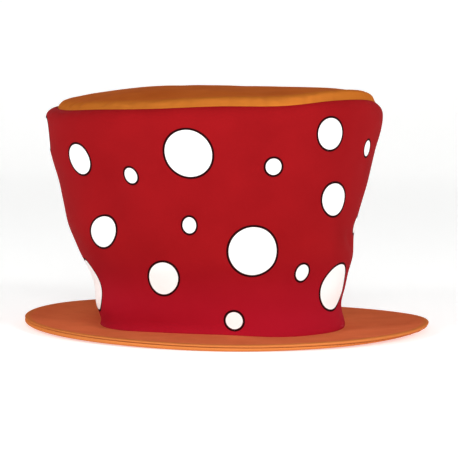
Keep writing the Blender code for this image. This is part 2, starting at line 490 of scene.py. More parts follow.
@dataclass(frozen=True)
class FlatCut:
    """The crown's cloth before it is sewn: a cone unrolled, with its middle at the front."""

    foot_radius: float
    full_radius: float
    slant: float

    @property
    def opening(self) -> float:
        """The share of a turn that the cut takes up for each turn round the hat."""
        return (self.full_radius - self.foot_radius) / self.slant

    @property
    def foot_reach(self) -> float:
        """From the cone's point to the foot."""
        return self.foot_radius / self.opening

    @property
    def half_angle(self) -> float:
        """From the middle of the cut to either end."""
        return math.pi * self.opening

    def turn(self, azimuth: Array | float) -> Array | float:
        """The turn on the cut from its middle, for azimuths that start at the back seam."""
        return (azimuth - BACK_SEAM - math.pi) * self.opening

    def place(self, azimuth: Array, rise: Array) -> Array:
        """Where a point of the crown lies on the cut.

        Args:
            azimuth: From the back seam on, up to a full turn more.
            rise: How far up the cloth the point is.

        Returns:
            Points of two coordinates, in metres.
        """
        turn = self.turn(azimuth)
        reach = self.foot_reach + rise
        return np.stack([reach * np.sin(turn), reach * np.cos(turn) - self.foot_reach], axis=-1)

    @property
    def width(self) -> float:
        """The width of the rectangle that the cut comes out of."""
        return 2 * (self.foot_reach + self.slant) * math.sin(self.half_angle)

    @property
    def length(self) -> float:
        """The length of the rectangle that the cut comes out of."""
        return self.foot_reach + self.slant - self.foot_reach * math.cos(self.half_angle)

    @property
    def area(self) -> float:
        """The area of the cut."""
        return math.pi * (self.foot_radius + self.full_radius) * self.slant


@dataclass(frozen=True)
class PrintedCloth:
    """Matt red cloth with a fine weave, printed with white dots in dark outlines."""

    cut: FlatCut
    dots: tuple[Dot, ...]
    red: Colour = linear(151, 20, 25)
    deep_red: Colour = linear(141, 17, 22)
    # Painted light from below: the red turns crimson at the foot and fades back to red over this rise
    painted_light_crimson: Colour = linear(162, 20, 38)
    painted_light_rise: float = 75 * MM
    white: Colour = linear(253, 253, 252)
    outline: Colour = linear(40, 6, 9)
    outline_width: float = 1.9 * MM
    ink_softness: float = 0.14 * MM
    print_wobble: float = 0.35 * MM
    wobble_size: float = 24 * MM
    thread_pitch: float = 0.55 * MM
    cloud_size: float = 45 * MM
    speckle_size: float = 1.6 * MM
    weave_depth: float = 0.10 * MM

    def dot_distance(self, shading: Shading, place: Sock) -> Sock:
        """How far a place lies outside the edge of the nearest dot, less than 0 on a dot."""
        nearest = None
        for dot in self.dots:
            azimuth = math.radians(dot.azimuth)
            if azimuth < BACK_SEAM:
                azimuth += FULL_TURN
            middle = self.cut.place(np.array(azimuth), np.array(dot.height * self.cut.slant))
            radius = dot.size.value
            mapping = shading.node(
                "ShaderNodeMapping",
                {"vector_type": "TEXTURE"},
                Vector=place,
                Location=(float(middle[0]), float(middle[1]), 0.0),
                Rotation=(0.0, 0.0, -float(self.cut.turn(azimuth)) - math.radians(dot.tilt)),
                Scale=(radius * dot.wide, radius * dot.tall, radius),
            )
            span = shading.vector_math("LENGTH", shading.out(mapping), result="Value")
            distance = shading.math("MULTIPLY_ADD", span, radius, -radius)
            nearest = distance if nearest is None else shading.math("MINIMUM", nearest, distance)
        return nearest

    def material(self) -> Material:
        """Builds the material."""
        shading = Shading("printed_cloth")
        place = shading.place_on_cut()
        wander = shading.mottle(place, self.wobble_size, detail=1.0, output=1)
        offset = shading.vector_math("SUBTRACT", wander, (0.5, 0.5, 0.5))
        offset = shading.vector_math("MULTIPLY", offset, (self.print_wobble,) * 2 + (0.0,))
        distance = self.dot_distance(shading, shading.vector_math("ADD", place, offset))
        soft, edge = self.ink_softness, self.outline_width
        on_dot = 1 - shading.ramp(distance, -soft, soft)
        on_outline = 1 - shading.ramp(distance, edge - soft, edge + soft)

        speckle = shading.mottle(place, self.speckle_size, detail=3.0)
        weave = shading.waves(place, self.thread_pitch, "X") * shading.waves(place, self.thread_pitch, "Y")
        tone = shading.ramp(shading.mottle(place, self.cloud_size) * 0.7 + speckle * 0.3, 0.30, 0.72)
        red = shading.blend(tone, self.deep_red, self.red)
        # Painted light from below: the red is blended towards crimson near the foot
        reach = shading.vector_math("DISTANCE", place, (0.0, -self.cut.foot_reach, 0.0), result="Value")
        low = 1 - shading.ramp(reach - self.cut.foot_reach, 0.0, self.painted_light_rise)
        red = shading.blend(low, red, self.painted_light_crimson)
        inked = shading.blend(on_outline, red, self.outline)
        colour = shading.blend(on_dot, inked, self.white)
        shading.raise_bumps(weave * 0.75 + speckle * 0.25, depth=self.weave_depth, strength=0.5)
        roughness = 0.74 + 0.10 * speckle - 0.06 * on_dot
        return shading.finish(Base_Color=colour, Roughness=roughness, Specular_IOR_Level=0.02)


@dataclass(frozen=True)
class Satin:
    """Orange satin: fine threads along X, soft coloured gloss and slightly uneven dye.

    Its colour is painted yellower towards its sewn edge, as a painted highlight along the roll of the foam.
    """

    name: str
    orange: Colour
    deep_orange: Colour
    painted_highlight_orange: Colour
    middle: float
    highlight_from: float
    highlight_to: float
    glint: Colour = linear(170, 90, 30)
    roughness: float = 0.41
    metallic: float = 0.30
    thread_pitch: float = 0.45 * MM
    slub_size: float = 1.1 * MM
    cloud_size: float = 30 * MM
    bump_depth: float = 0.06 * MM

    def material(self) -> Material:
        """Builds the material."""
        shading = Shading(self.name)
        place = shading.place_in_space()
        along_x = shading.vector_math("MULTIPLY", place, (0.05, 1.0, 1.0))
        slubs = shading.mottle(along_x, self.slub_size, detail=3.0)
        threads = shading.mottle(along_x, self.thread_pitch, detail=1.0)
        clouds = shading.mottle(place, self.cloud_size)
        tone = shading.ramp(clouds * 0.55 + slubs * 0.45, 0.28, 0.74)
        colour = shading.blend(tone, self.deep_orange, self.orange)
        # Painted highlight: the colour turns yellower in a band near the sewn edge
        level_place = shading.vector_math("MULTIPLY", place, (1.0, 1.0, 0.0))
        reach = shading.vector_math("DISTANCE", level_place, (self.middle, 0.0, 0.0), result="Value")
        edge = shading.ramp(reach, self.highlight_from, self.highlight_to)
        shading.raise_bumps(threads * 0.6 + slubs * 0.4, depth=self.bump_depth, strength=0.55)
        return shading.finish(
            Base_Color=shading.blend(edge, colour, self.painted_highlight_orange),
            Roughness=self.roughness + 0.12 * slubs,
            Metallic=self.metallic,
            Specular_IOR_Level=0.0,
            Specular_Tint=self.glint,
        )


@dataclass(frozen=True)
class Backing:
    """The pale knit that backs the crown's foam, seen inside the hat."""

    pale: Colour = linear(226, 219, 206)
    shade: Colour = linear(196, 186, 170)
    stitch_pitch: float = 1.6 * MM
    fuzz_size: float = 2 * MM
    rib_depth: float = 0.25 * MM

    def material(self) -> Material:
        """Builds the material."""
        shading = Shading("foam_backing")
        place = shading.place_on_cut()
        ribs = shading.waves(place, self.stitch_pitch, "X")
        courses = shading.waves(place, 0.7 * self.stitch_pitch, "Y")
        fuzz = shading.mottle(place, self.fuzz_size, detail=3.0)
        height = ribs * 0.5 + ribs * courses * 0.3 + fuzz * 0.2
        # Painted shade: the knit's low places are coloured darker, like shade in its hollows
        colour = shading.blend(shading.ramp(height, 0.15, 0.75), self.shade, self.pale)
        shading.raise_bumps(height, depth=self.rib_depth, strength=0.6)
        return shading.finish(Base_Color=colour, Roughness=0.9 - 0.1 * ribs, Sheen_Weight=0.2)


@dataclass(frozen=True)
class Thread:
    """Twisted sewing thread."""

    name: str
    colour: Colour
    shade: Colour
    twist_size: float = 0.5 * MM
    twist_depth: float = 0.05 * MM

    def material(self) -> Material:
        """Builds the material."""
        shading = Shading(self.name)
        twist = shading.mottle(shading.place_in_space(), self.twist_size)
        # Painted shade: the twist's low places are coloured darker, like shade in its grooves
        colour = shading.blend(twist, self.shade, self.colour)
        shading.raise_bumps(twist, depth=self.twist_depth, strength=0.5)
        return shading.finish(Base_Color=colour, Roughness=0.5 + 0.15 * twist)


@dataclass(frozen=True)
class StudioCove:
    """The pale, matt lining of the studio, which glows a little so that it stays white."""

    pale: Colour = linear(226, 226, 225)
    shade: Colour = linear(222, 222, 221)
    cloud_size: float = 350 * MM
    glow: float = 0.50

    def material(self) -> Material:
        """Builds the material."""
        shading = Shading("studio_cove")
        clouds = shading.mottle(shading.place_in_space(), self.cloud_size)
        return shading.finish(
            Base_Color=shading.blend(clouds, self.shade, self.pale),
            Roughness=0.95,
            Specular_IOR_Level=0.0,
            Emission_Color=FULL_WHITE,
            Emission_Strength=self.glow,
        )


class Piece:
    """A mesh of rows of points that run round the hat, made into an object."""

    def __init__(self, name: str) -> None:
        """Starts an empty piece."""
        self.name = name
        self.rows: list[Array] = []
        self.cuts: list[Array] = []
        self.inside_from: int | None = None

    def add_rows(self, points: Array, cut: Array | None = None) -> None:
        """Adds rows of points, and their places on the flat cut with one column more."""
        self.rows.extend(points)
        if cut is not None:
            self.cuts.extend(cut)

    def mesh(self, closed_profile: bool, capped: bool) -> Mesh:
        """Joins the rows with quads.

        Args:
            closed_profile: Whether the last row is joined to the first.
            capped: Whether the first and last rows are closed to a point in their middle.

        Returns:
            The mesh, shaded smooth.
        """
        grid = np.array(self.rows)
        count, columns = grid.shape[:2]
        first = np.arange(count if closed_profile else count - 1)[:, None]
        second = (first + 1) % count
        here = np.arange(columns)
        there = (here + 1) % columns
        corners = ((first, here), (first, there), (second, there), (second, here))
        quads = np.stack([row * columns + place for row, place in corners], axis=-1)
        faces = quads.reshape(-1, 4).tolist()
        points = grid.reshape(-1, 3)
        if capped:
            bottom, top = len(points), len(points) + 1
            last = (count - 1) * columns
            points = np.concatenate([points, [grid[0].mean(axis=0)], [grid[-1].mean(axis=0)]])
            faces += np.stack([0 * here + bottom, there, here], axis=1).tolist()
            faces += np.stack([0 * here + top, last + here, last + there], axis=1).tolist()
        mesh = bpy.data.meshes.new(self.name)
        mesh.from_pydata(points.tolist(), [], faces)
        if self.cuts:
            cut = np.array(self.cuts)
            corners = ((first, here), (first, here + 1), (second, here + 1), (second, here))
            places = np.stack([cut[row, place] for row, place in corners], axis=2)
            layer = mesh.uv_layers.new(name=CUT_MAP)
            layer.data.foreach_set("uv", places.astype(np.float32).ravel())
        if self.inside_from is not None:
            inside = np.repeat(first >= self.inside_from, columns).astype(np.int32)
            mesh.polygons.foreach_set("material_index", inside)
        mesh.shade_smooth()
        return mesh

    def build(
        self,
        materials: Sequence[Material],
        closed_profile: bool = True,
        capped: bool = False,
    ) -> Object:
        """Makes the object and gives it its materials."""
        mesh = self.mesh(closed_profile, capped)
        for material in materials:
            mesh.materials.append(material)
        LOG.info("%s: %d faces", self.name, len(mesh.polygons))
        return add_object(self.name, mesh)


@dataclass(frozen=True)
class Section:
    """A ring of the crown, in shares of its height, spread, lean and shoulder."""

    height: float
    spread: float
    lean: float
    turned_in: float = 0.0


@dataclass(frozen=True)
class Hollow:
    """A soft hollow in the crown's cloth, or a bulge if its depth is below 0.

    Its height is a share of the crown's, its other lengths are in millimetres, and it is tilted in
    degrees.
    """

    azimuth: float
    height: float
    half_width: float
    half_height: float
    depth: float
    tilt: float = 0.0


@dataclass(frozen=True)
class Crown:
    """The printed crown: a padded wall that widens upwards, leans and has soft hollows."""

    sizes: HatSizes
    lean: float = 10.8 * MM
    shoulder: float = 6.3 * MM
    seam_wave: float = 18.3 * MM
    foot_flare: float = 0.7 * MM
    foot_clearance: float = 0.2 * MM
    seam_width: float = 1.5 * MM
    pull_width: float = 9 * MM
    seam_ring: float = 160 * MM
    swell: Ripples = Ripples(depth=0.7 * MM, size=55 * MM, seed=3.1)
    creases: Ripples = Ripples(depth=0.25 * MM, size=16 * MM, seed=8.7)
    gathers: Ripples = Ripples(depth=0.45 * MM, size=6 * MM, seed=5.5)
    columns: int = 300
    rows_per_section: int = 8
    # Height, spread, lean and turned_in
    sections: tuple[Section, ...] = (
        Section(0.000, 0.00, 0.00),
        Section(0.025, 0.00, 0.00),
        Section(0.065, 0.02, 0.24),
        Section(0.110, 0.05, 0.38),
        Section(0.170, 0.11, 0.33),
        Section(0.240, 0.21, 0.45),
        Section(0.310, 0.34, 0.62),
        Section(0.380, 0.42, 0.87),
        Section(0.460, 0.50, 1.05),
        Section(0.560, 0.60, 1.00),
        Section(0.670, 0.73, 0.98),
        Section(0.790, 0.88, 1.06),
        Section(0.885, 0.97, 1.02),
        Section(0.950, 1.00, 0.96, 0.06),
        Section(0.985, 1.00, 0.86, 0.42),
        Section(1.000, 1.00, 0.73, 1.00),
    )
    # Azimuth, height, half_width, half_height, depth and tilt
    hollows: tuple[Hollow, ...] = (
        Hollow(234, 0.71, 17, 40, 4.4, -38),
        Hollow(262, 0.47, 15, 17, 2.2),
        Hollow(343, 0.40, 16, 6, 1.8, -20),
        Hollow(314, 0.19, 22, 17, 1.6),
        Hollow(196, 0.37, 22, 13, 1.5),
        Hollow(75, 0.58, 50, 26, 3.0, 12),
        Hollow(128, 0.36, 34, 20, 2.2, -15),
        Hollow(38, 0.80, 20, 26, 2.0, 25),
        Hollow(160, 0.70, 16, 30, 2.2, 20),
        Hollow(186, 0.98, 32, 8, -1.2),
        Hollow(355, 0.93, 40, 20, -1.2),
        Hollow(352, 0.62, 34, 42, -0.9),
    )
    top_seam: tuple[float, ...] = (
        *(0.10, 0.07, 0.06, 0.04, 0.0, -0.03, -0.05, -0.07),
        *(-0.12, -0.25, -0.17, -0.09, 0.065, 0.115, 0.375, 0.39),
    )

    @property
    def height(self) -> float:
        """From the foot to the top seam."""
        return self.sizes.seam_height - self.sizes.foot_height

    @property
    def print_axis(self) -> float:
        """Where the upright line stands along X that the print is laid out about."""
        return self.sizes.hat_centre - 0.6 * self.lean

    @property
    def cut(self) -> FlatCut:
        """The flat cut of the crown's cloth."""
        grown = self.sizes.full_radius - self.sizes.foot_radius
        return FlatCut(self.sizes.foot_radius, self.sizes.full_radius, math.hypot(self.height, grown))

    def azimuths(self) -> Array:
        """The azimuths of the columns, from the back seam on and closer beside it."""
        beside = np.radians([0.25, 0.5, 0.8, 1.6, 2.0])
        turns = np.concatenate([all_round(self.columns), beside, FULL_TURN - beside])
        return BACK_SEAM + np.unique(turns.round(9))

    def axis(self, lean: Array) -> Array:
        """Where the crown's middle stands along X, at shares of its lean."""
        return self.sizes.hat_centre - self.lean * lean

    def wave(self, azimuth: Array) -> Array:
        """How far the top seam stands above its mean height."""
        return self.seam_wave * around(self.top_seam, azimuth)

    def depth_of_hollows(self, azimuth: Array, height: Array) -> Array:
        """How far the cloth is pushed in at azimuths and shares of the height."""
        depth = np.zeros(np.broadcast(azimuth, height).shape)
        for hollow in self.hollows:
            aside = turn_between(azimuth, math.radians(hollow.azimuth)) * self.sizes.full_radius
            up = (height - hollow.height) * self.height
            tilt = math.radians(hollow.tilt)
            across = hill(aside * math.cos(tilt) + up * math.sin(tilt), hollow.half_width * MM)
            along = hill(up * math.cos(tilt) - aside * math.sin(tilt), hollow.half_height * MM)
            depth += hollow.depth * MM * across * along
        return depth

    def back_seam_depth(self, azimuth: Array, height: Array) -> Array:
        """The groove of the upright seam at the back, with the cloth rising softly beside it."""
        aside = np.abs(turn_between(azimuth, BACK_SEAM)) * self.sizes.foot_radius
        pull = 1 + 0.35 * np.sin(height * self.height / self.pull_width * FULL_TURN)
        groove = self.seam_width * hill(aside, self.seam_width)
        return groove + 0.5 * MM * pull * hill(aside, self.pull_width)

    def outer(self, azimuth: Array, places: Array, relief: bool = True) -> Array:
        """The crown's outer face.

        Args:
            azimuth: The columns' azimuths.
            places: The rows' places along the sections, from 0.
            relief: Whether the hollows, gathers and seam show.

        Returns:
            Rows, columns and X, Y and Z.
        """
        turn = azimuth[None, :]
        height, spread, lean, turned_in = (
            ring_values(self.sections, name, places[:, None])
            for name in ("height", "spread", "lean", "turned_in")
        )
        grown = self.sizes.full_radius - self.sizes.foot_radius
        reach = self.sizes.foot_radius + grown * spread - self.shoulder * turned_in + 0 * turn
        reach = reach - self.depth_of_hollows(turn, height)
        reach = reach + spoke_values("push", turn) * MM * hill(height, 0.16)
        level = self.sizes.foot_height + self.height * height + self.wave(turn) * height**3
        drop = self.sizes.foot_height - self.foot_clearance - spoke_values("foot", turn) * MM
        level = level - drop * hill(height, 0.12)
        if relief:
            smooth = self.stacked(turn, reach, lean, level)
            reach = reach + self.swell.over(smooth) + self.creases.over(smooth)
            gathers = self.gathers.over(self.seam_ring * outwards(turn))
            reach = reach - gathers * hill(1 - height, 0.05)
            reach = reach + self.foot_flare * hill(height, 0.03)
            reach = reach - 0.4 * gathers * hill(height, 0.04)
            reach = reach - self.back_seam_depth(turn, height)
        return self.stacked(turn, reach, lean, level)

    def stacked(
        self, turn: Array, reach: Array, lean: Array, level: Array
    ) -> Array:
        """Points at a reach from the leaning axis and at a level."""
        across = self.axis(lean) + reach * np.cos(turn)
        forward = reach * np.sin(turn)
        return np.stack(np.broadcast_arrays(across, forward, level), axis=-1)

    def rolled_in(self, edge: Array, turn: Array, steps: Sequence[tuple]) -> Array:
        """Rows that turn an edge into its seam, by steps inwards and up in millimetres."""
        inwards = -outwards(turn)
        return np.array([edge + inwards * inward * MM + UPWARDS * up * MM for inward, up in steps])

    def build(self, cloth: Material, backing: Material) -> Object:
        azimuth = self.azimuths()
        outside = self.outer(azimuth, ring_places(self.sections, self.rows_per_section))
        hem = self.rolled_in(outside[0], azimuth, ((2.4, -0.9), (1.6, -1.2), (0.8, -0.95), (0.2, -0.4)))
        curl = self.rolled_in(outside[-1], azimuth, ((0.5, 0.05), (0.85, -0.25), (1.0, -0.8), (1.1, -1.6)))
        plain = self.outer(azimuth, ring_places(self.sections, ROWS_INSIDE), relief=False)
        inside = plain - surface_normals(plain) * self.sizes.wall
        inside = inside[inside[:, :, 2].mean(axis=1) < curl[-1, :, 2].mean()][::-1]
        piece = Piece("crown_cloth")
        for rows in (hem, outside, curl, inside):
            piece.add_rows(rows, self.cut_places(rows, azimuth))
        piece.inside_from = len(hem) + len(outside) + len(curl) - 1
        made = piece.build([cloth, backing])
        cut = self.cut
        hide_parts("crown_wall")
        cut.width
        cut.length
        cut.area
        return made

    def cut_places(self, rows: Array, azimuth: Array) -> Array:
        """The rows' places on the flat cut, with the first column once more at the end.

        They are read about an upright line, so that the print doesn't shear with the crown's lean.
        """
        seen = np.arctan2(rows[:, :, 1], rows[:, :, 0] - self.print_axis)
        seen = azimuth + turn_between(seen, azimuth)
        seen = np.concatenate([seen, seen[:, :1] + FULL_TURN], axis=1)
        rise = (rows[:, :, 2] - self.sizes.foot_height) / self.height * self.cut.slant
        return self.cut.place(seen, np.concatenate([rise, rise[:, :1]], axis=1))


@dataclass(frozen=True)
class Settling:
    """A short cloth simulation in which a pad's skin swells and finds its own soft dents."""

    frames: int = 18
    furthest: float = 1.3 * MM
    spare_cloth: float = 0.012
    pressure: float = 0.5
    stiffness: float = 25
    bending: float = 4

    def run(self, piece: Object, free: Array) -> None:
        """Settles a piece's skin and applies the result to its mesh.

        Args:
            piece: The piece, whose mesh is changed.
            free: How free each vertex is, from 0 where it is sewn to 1.
        """
        scene = bpy.context.scene
        sewn = piece.vertex_groups.new(name="sewn")
        for index, share in enumerate(free.tolist()):
            sewn.add([index], 1 - share, "REPLACE")
        cloth = piece.modifiers.new("cloth", "CLOTH")
        settings = {
            "quality": 6,
            "mass": 0.2,
            "tension_stiffness": self.stiffness,
            "compression_stiffness": self.stiffness,
            "bending_stiffness": self.bending,
            "air_damping": 4,
            "shrink_min": -self.spare_cloth,
            "vertex_group_mass": sewn.name,
            "use_pressure": True,
            "uniform_pressure_force": self.pressure,
        }
        for name, value in settings.items():
            setattr(cloth.settings, name, value)
        cloth.settings.effector_weights.gravity = 0
        cloth.collision_settings.use_collision = False
        cloth.point_cache.frame_end = self.frames
        for frame in range(1, self.frames + 1):
            scene.frame_set(frame)
        settled = piece.evaluated_get(bpy.context.evaluated_depsgraph_get()).data
        before = mesh_points(piece.data).astype(float)
        moved = mesh_points(settled) - before
        length = np.linalg.norm(moved, axis=1, keepdims=True)
        moved *= self.furthest * np.tanh(length / self.furthest) / np.maximum(length, 1e-9)
        piece.modifiers.remove(cloth)
        piece.vertex_groups.remove(sewn)
        piece.data.vertices.foreach_set("co", (before + moved).astype(np.float32).ravel())
        piece.data.update()
        scene.frame_set(1)
        LOG.info("%s: settled by up to %.2f mm", piece.name, np.abs(moved).max() / MM)


@dataclass(frozen=True)
class PadRing:
    """A ring of the top pad, in shares of the way to its middle and of its rise."""

    inset: float
    rise_left: float
    rise_right: float


@dataclass(frozen=True)
class TopPad:
    """The domed satin pad, sewn into the crown's shoulder."""

    sizes: HatSizes
    crown: Crown
    thickness: float = 4.5 * MM
    seam_room: float = 1.2 * MM
    seam_ring: float = 140 * MM
    puckers: tuple[Ripples, ...] = (
        Ripples(depth=0.55 * MM, size=7 * MM, seed=1.4),
        Ripples(depth=0.33 * MM, size=3.4 * MM, seed=6.2),
    )
    swells: tuple[Ripples, ...] = (
        Ripples(depth=0.5 * MM, size=42 * MM, seed=2.9),
        Ripples(depth=0.12 * MM, size=13 * MM, seed=7.7),
    )
    # Inset, rise_left and rise_right
    rings: tuple[PadRing, ...] = (
        PadRing(0.00, 0.00, 0.00),
        PadRing(0.03, 0.19, 0.37),
        PadRing(0.10, 0.33, 0.46),
        PadRing(0.22, 0.50, 0.58),
        PadRing(0.42, 0.70, 0.71),
        PadRing(0.70, 0.88, 0.86),
        PadRing(0.90, 0.94, 0.94),
        PadRing(0.98, 0.94, 0.94),
    )
    columns: int = 288
    rows_per_ring: int = 8

    def outer(self, azimuth: Array, places: Array, relief: bool = True) -> Array:
        """The pad's upper face, from its sewn edge inwards."""
        inset, left, right = (
            ring_values(self.rings, name, places[:, None]) for name in ("inset", "rise_left", "rise_right")
        )
        turn = azimuth[None, :]
        rise = left + (right - left) * (1 + np.cos(turn)) / 2
        seam_lean = np.array(self.crown.sections[-1].lean)
        radius = (self.sizes.full_radius - self.crown.shoulder - self.seam_room) * (1 - inset)
        peak = self.sizes.pad_top - self.sizes.seam_height
        level = self.sizes.seam_height + peak * rise + self.crown.wave(turn) * (1 - inset) ** 2
        points = self.crown.stacked(turn, radius + 0 * turn, seam_lean, level)
        if relief:
            folds = sum(ripples.over(self.seam_ring * outwards(turn)) for ripples in self.puckers)
            points[:, :, 2] += folds * hill(inset - 0.03, 0.06)
            for ripples in self.swells:
                points[:, :, 2] += ripples.over(points)
        return points

    def build(self, satin: Material) -> Object:
        azimuth = all_round(self.columns)
        places = ring_places(self.rings, self.rows_per_ring)
        outside = self.outer(azimuth, places)
        tuck = self.crown.rolled_in(
            outside[0], azimuth, ((0.6, -2.6), (0.25, -1.6), (0.0, -0.9), (-0.1, -0.4))
        )
        plain = self.outer(azimuth, ring_places(self.rings, ROWS_INSIDE, start=0.5), relief=False)
        inside = plain - surface_normals(plain) * self.thickness
        piece = Piece("top_pad")
        for rows in (inside[::-1], tuck, outside):
            piece.add_rows(rows)
        made = piece.build([satin], closed_profile=False, capped=True)
        inset = ring_values(self.rings, "inset", places)
        off_seam = np.clip(inset / 0.02, 0, 1) * np.clip((0.9 - inset) / 0.2, 0, 1)
        held = np.zeros(len(inside) + len(tuck))
        free = np.repeat(np.concatenate([held, off_seam]), self.columns)
        Settling().run(made, np.append(free, (0.0, 0.0)))
        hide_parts("crown_top")
        return made


@dataclass(frozen=True)
class BrimRing:
    """A ring of the brim, at a share of the way out.

    Settled runs from 0 at the foot line to 1 where the brim has its own thickness. Full is that
    thickness as a share of the rim's.
    """

    across: float
    settled: float
    full: float


@dataclass(frozen=True)
class Brim:
    """The brim: two padded satin layers, sewn together round their outer edge."""

    sizes: HatSizes
    gap: float = 0.3 * MM
    edge_roll: float = 2.2 * MM
    groove_roll: float = 0.7 * MM
    puckers: Ripples = Ripples(depth=0.25 * MM, size=6 * MM, seed=9.4)
    swell: Ripples = Ripples(depth=0.30 * MM, size=34 * MM, seed=4.4)
    columns: int = 360
    rows_per_ring: int = 6
    reach: tuple[float, ...] = (1.0, 0.95, 1.0, 1.0, 1.0, 1.0, 1.0, 1.0)
    flat_share: float = 0.25
    # Across, settled and full
    rings: tuple[BrimRing, ...] = (
        BrimRing(0.00, 0.00, 0.80),
        BrimRing(0.10, 0.00, 0.80),
        BrimRing(0.18, 0.35, 0.80),
        BrimRing(0.30, 0.85, 0.81),
        BrimRing(0.45, 1.00, 0.83),
        BrimRing(0.62, 1.00, 0.84),
        BrimRing(0.78, 1.00, 0.88),
        BrimRing(0.90, 1.00, 0.98),
    )

    def place(self, azimuth: Array, across: Any, level: Any, setback: Any = 0.0) -> Array:
        """Points of the brim.

        Args:
            azimuth: The columns' azimuths.
            across: The rows' shares of the way from the hole to the outer edge.
            level: The heights of the points, before the brim's lift.
            setback: How far the points are drawn in.

        Returns:
            Rows, columns and X, Y and Z.
        """
        turn = azimuth[None, :]
        edge = self.sizes.brim_radius * around(self.reach, turn)
        radius = self.sizes.hole_radius + (edge - self.sizes.hole_radius) * across - setback
        middle = self.sizes.hat_centre * (1 - across)
        lifted = np.clip(across - self.flat_share, 0, None) / (1 - self.flat_share)
        lift = np.clip(spoke_values("lift", turn), 0, None) * MM * lifted**2
        points = (middle + radius * np.cos(turn), radius * np.sin(turn), level + lift)
        return np.stack(np.broadcast_arrays(*points), axis=-1)

    def levels(self, azimuth: Array, settled: Any, full: Any) -> Array:
        """The heights of the brim's upper face, before its lift."""
        foot = spoke_values("foot", azimuth)[None, :] * MM
        rim = spoke_values("edge", azimuth)[None, :] * MM
        return foot + (rim * full - foot) * settled

    def seam_share(self, azimuth: Array, across: Any) -> Array:
        """The share of the brim's thickness that lies under the seam between its layers."""
        return 0.5 + (spoke_values("groove", azimuth)[None, :] - 0.5) * across

    def rim(self, azimuth: Array, layer: Layer) -> Array:
        """The round outer edge of a layer, from below to above."""
        thickness = self.levels(azimuth, 1.0, 1.0)
        seam = thickness * self.seam_share(azimuth, 1.0)
        upper = layer is Layer.UPPER
        low = seam + self.gap / 2 if upper else 0 * seam
        high = thickness if upper else seam - self.gap / 2
        angle = np.linspace(-math.pi / 2, math.pi / 2, 13)[:, None]
        level = low + (high - low) / 2 * (1 + np.sin(angle))
        roll = np.where((angle > 0) == upper, self.edge_roll, self.groove_roll)
        tuck = 0.0 if upper else spoke_values("tuck", azimuth)[None, :] * MM
        return self.place(azimuth, 1.0, level, roll * (1 - np.cos(angle)) + tuck)

    def faces(self, azimuth: Array, layer: Layer) -> tuple[Array, Array]:
        """The under and upper face of a layer, both from the hole outwards."""
        places = ring_places(self.rings, self.rows_per_ring)[:, None]
        across, settled, full = (
            ring_values(self.rings, name, places) for name in ("across", "settled", "full")
        )
        top = self.levels(azimuth, settled, full)
        seam = top * self.seam_share(azimuth, across)
        if layer is Layer.LOWER:
            under = self.place(azimuth, across, 0 * seam)
            return under, self.place(azimuth, across, seam - self.gap / 2)
        above = self.place(azimuth, across, top)
        directions = above / np.linalg.norm(above[:, :, :2], axis=2, keepdims=True)
        puckers = self.puckers.over(directions * self.sizes.brim_radius)
        above[:, :, 2] += puckers * hill(1 - across, 0.16)
        above[:, :, 2] += self.swell.over(above) * np.sin(np.clip(across, 0, 1) * math.pi)
        return self.place(azimuth, across, seam + self.gap / 2), above

    def build(self, layer: Layer, satin: Material, replaced: str) -> Object:
        azimuth = all_round(self.columns)
        under, above = self.faces(azimuth, layer)
        piece = Piece(layer.value)
        for rows in (under, self.rim(azimuth, layer), above[::-1]):
            piece.add_rows(rows)
        made = piece.build([satin])
        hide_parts(replaced)
        return made


